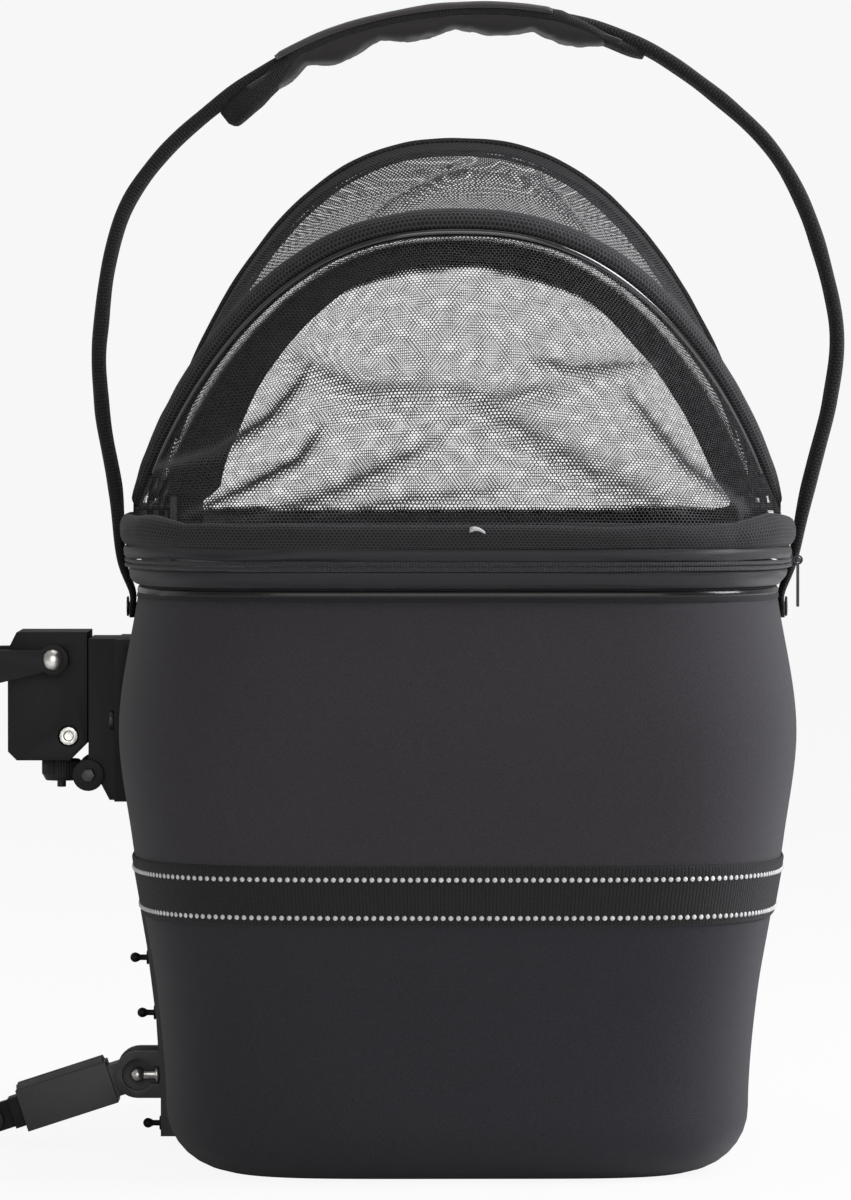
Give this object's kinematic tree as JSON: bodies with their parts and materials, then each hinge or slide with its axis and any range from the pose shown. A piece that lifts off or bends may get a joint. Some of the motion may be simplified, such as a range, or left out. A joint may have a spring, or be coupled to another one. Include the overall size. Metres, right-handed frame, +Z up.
{
  "type": "dog bicycle basket",
  "caption": "Soft-sided handlebar basket for a small dog, with a folding mesh roof on hoops, a padded carry strap and a quick-release handlebar bracket.",
  "frame": {"origin": "centre of the flat base, which the basket stands on", "axes": "+X points forward on the bicycle, away from the bracket; +Y runs across it; +Z is up"},
  "size_m": [0.4317, 0.4104, 0.519],
  "materials": {
    "foam_shell": "matt heathered cloth on moulded foam",
    "band_webbing": "ribbed webbing with reflective dots",
    "tape_cloth": "plain woven tape",
    "mesh_cloth": "open knitted mesh",
    "strap_webbing": "ribbed webbing",
    "sleeve_cloth": "soft padded cloth",
    "cushion_cloth": "soft padded cloth",
    "gloss_piping": "glossy extruded piping",
    "black_plastic": "fine satin moulding",
    "board": "stiff sheet",
    "hoop_rod": "sprung rod bound with cloth",
    "dark_steel": "blackened steel",
    "bright_steel": "bright plated steel"
  },
  "bodies": {
    "basket": {"lower_tub": "foam_shell", "upper_wall": "foam_shell", "reflective_band": "band_webbing", "rim_piping": "gloss_piping", "lower_zip_tape": "tape_cloth", "lower_zip_coil": "tape_cloth", "far_skirt": "mesh_cloth", "floor_board": "board", "seat_cushion": "cushion_cloth", "inner_plate": "black_plastic", "hook_plate": "black_plastic", "hook_bolt_1": "dark_steel", "hook_bolt_2": "dark_steel", "near_lobe_bolt": "dark_steel", "far_lobe_bolt": "dark_steel", "lower_plate": "black_plastic", "lower_stud_1": "black_plastic", "lower_stud_2": "black_plastic", "lower_stud_3": "black_plastic", "strut_ball_pin": "bright_steel", "strut_pivot_pin": "dark_steel", "rear_hoop_bracket": "dark_steel", "front_hoop_bracket": "dark_steel", "rear_strap_rivet": "dark_steel", "front_strap_rivet": "dark_steel", "leash_tab": "strap_webbing"},
    "ring": {"leash_ring": "bright_steel"},
    "far_roof": {"far_hoop": "hoop_rod", "far_end_mesh": "mesh_cloth"},
    "middle_roof": {"middle_hoop": "hoop_rod", "far_roof_mesh": "mesh_cloth"},
    "near_roof": {"near_hoop": "hoop_rod", "near_hoop_piping": "gloss_piping", "near_roof_mesh": "mesh_cloth", "near_end_mesh": "mesh_cloth", "cover_hem": "mesh_cloth", "cover_zip_tape": "tape_cloth", "cover_zip_coil": "tape_cloth"},
    "handle": {"carry_strap": "strap_webbing", "grip_sleeve": "sleeve_cloth"},
    "slider": {"zip_slider": "dark_steel"},
    "pull": {"zip_pull": "dark_steel"},
    "adapter": {"adapter_body": "black_plastic", "stop_bolt": "bright_steel"},
    "knob": {"lock_knob": "black_plastic"},
    "bar_clamp": {"near_clamp_arm": "black_plastic", "far_clamp_arm": "black_plastic", "near_clamp_cap": "black_plastic", "far_clamp_cap": "black_plastic", "near_lower_clamp_bolt": "dark_steel", "near_upper_clamp_bolt": "dark_steel", "far_lower_clamp_bolt": "dark_steel", "far_upper_clamp_bolt": "dark_steel", "tilt_bolt": "bright_steel"},
    "strut": {"strut_sleeve": "black_plastic"},
    "strut_knob": {"strut_lock_knob": "black_plastic"},
    "strut_inner": {"strut_arm": "black_plastic"},
    "fork": {"support_fork": "black_plastic", "fork_pin": "dark_steel"}
  },
  "joints": [
    {"name": "far_hoop_fold", "type": "hinge", "parent": "basket", "child": "far_roof", "pos_m": [0, 0, 0.2897], "axis": [1, 0, 0], "range_deg": [-20, 0], "deforming": ["far_end_mesh"]},
    {"name": "middle_hoop_fold", "type": "hinge", "parent": "far_roof", "child": "middle_roof", "pos_m": [0, 0, 0.2897], "axis": [1, 0, 0], "range_deg": [-30, 0], "deforming": ["far_roof_mesh"]},
    {"name": "near_hoop_fold", "type": "hinge", "parent": "middle_roof", "child": "near_roof", "pos_m": [0, 0, 0.2897], "axis": [1, 0, 0], "range_deg": [-30, 0], "deforming": ["near_end_mesh", "near_roof_mesh", "cover_hem", "cover_zip_tape", "cover_zip_coil"]},
    {"name": "carry_strap_swing", "type": "hinge", "parent": "basket", "child": "handle", "pos_m": [0, 0, 0.2445], "axis": [1, 0, 0], "range_deg": [-80, 80]},
    {"name": "zip_slide", "type": "slide", "parent": "basket", "child": "slider", "axis": [0, -1, 0], "range_m": [0, 0.045]},
    {"name": "zip_pull_swing", "type": "hinge", "parent": "slider", "child": "pull", "pos_m": [0.15242, -0.045, 0.2665], "axis": [0, 1, 0], "range_deg": [-100, 0]},
    {"name": "basket_lift_off", "type": "slide", "parent": "basket", "child": "adapter", "axis": [0, 0, 1], "range_m": [-0.045, 0]},
    {"name": "lock_knob_turn", "type": "hinge", "parent": "adapter", "child": "knob", "pos_m": [-0.17946, 0, 0.1753], "axis": [0, 0, 1], "continuous": true},
    {"name": "bar_tilt", "type": "hinge", "parent": "adapter", "child": "bar_clamp", "pos_m": [-0.18162, 0, 0.22134], "axis": [0, 1, 0], "range_deg": [-20, 20]},
    {"name": "strut_fold", "type": "hinge", "parent": "basket", "child": "strut", "pos_m": [-0.1444, 0, 0.033], "axis": [0, 1, 0], "range_deg": [-35, 50]},
    {"name": "strut_knob_turn", "type": "hinge", "parent": "strut", "child": "strut_knob", "pos_m": [-0.17864, 0, 0.02187], "axis": [0, 1, 0], "continuous": true},
    {"name": "strut_extend", "type": "slide", "parent": "strut", "child": "strut_inner", "axis": [-0.9511, 0, -0.309], "range_m": [0, 0.02]},
    {"name": "fork_tilt", "type": "hinge", "parent": "strut_inner", "child": "fork", "pos_m": [-0.21193, 0, 0.01106], "axis": [0, 1, 0], "range_deg": [-20, 20]},
    {"name": "leash_ring_swing", "type": "hinge", "parent": "basket", "child": "ring", "pos_m": [-0.1243, 0, 0.138], "axis": [0, 1, 0], "range_deg": [-110, 0]}
  ],
  "couplings": [
    {"joint": "near_hoop_fold", "follows": "middle_hoop_fold", "ratio": 1}
  ]
}
